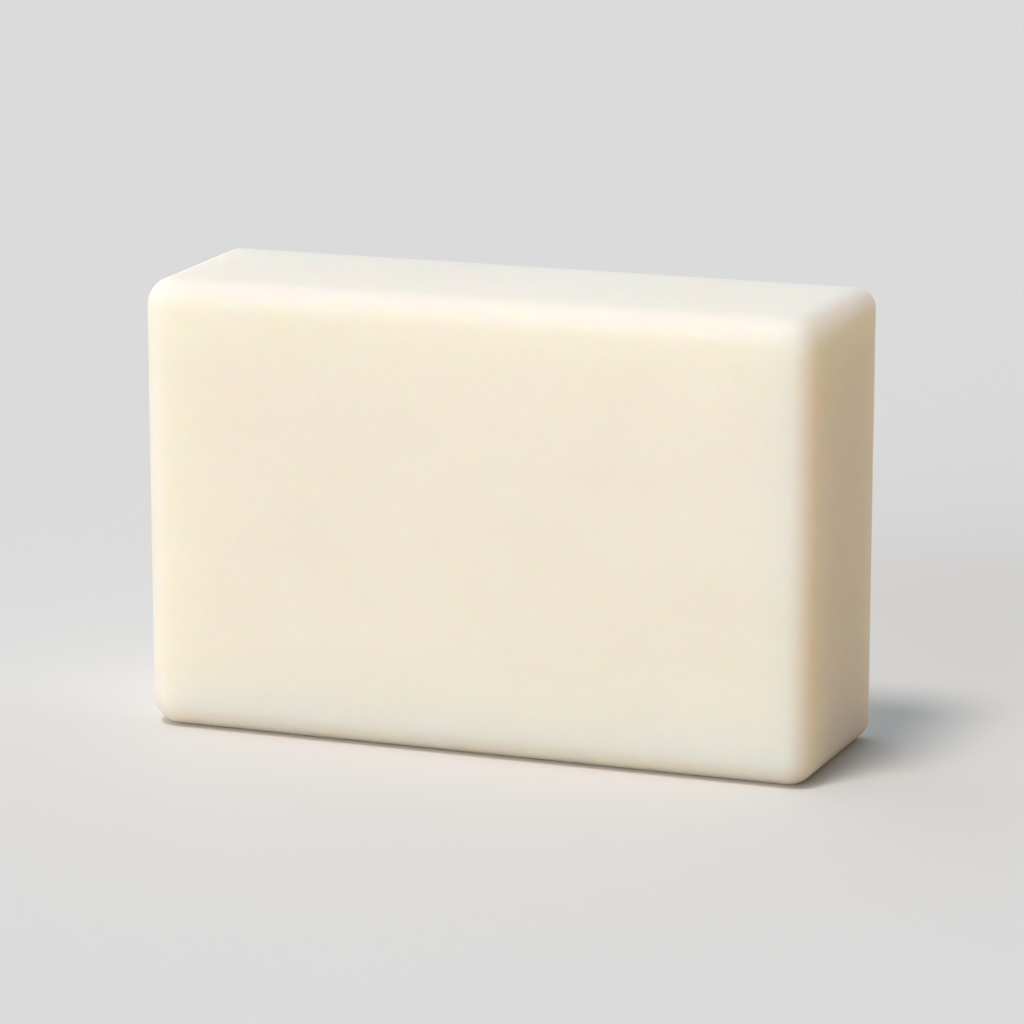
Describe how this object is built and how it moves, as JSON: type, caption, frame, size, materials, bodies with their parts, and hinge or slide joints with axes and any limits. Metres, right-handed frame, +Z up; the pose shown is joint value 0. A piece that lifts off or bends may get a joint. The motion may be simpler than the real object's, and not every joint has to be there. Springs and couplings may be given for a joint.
{
  "type": "bar of soap",
  "caption": "Plain rectangular bar of hand soap with softly rounded edges and corners, for washing by hand; stands on its long side or lies on a broad face.",
  "frame": {"origin": "middle of the face that the bar stands on", "axes": "+X along the bar's length, -Y out of its broad front face, +Z up from the face that it stands on"},
  "size_m": [0.09, 0.028, 0.059],
  "materials": {
    "soap": null
  },
  "bodies": {
    "root": {"soap_bar": "soap"}
  },
  "joints": []
}
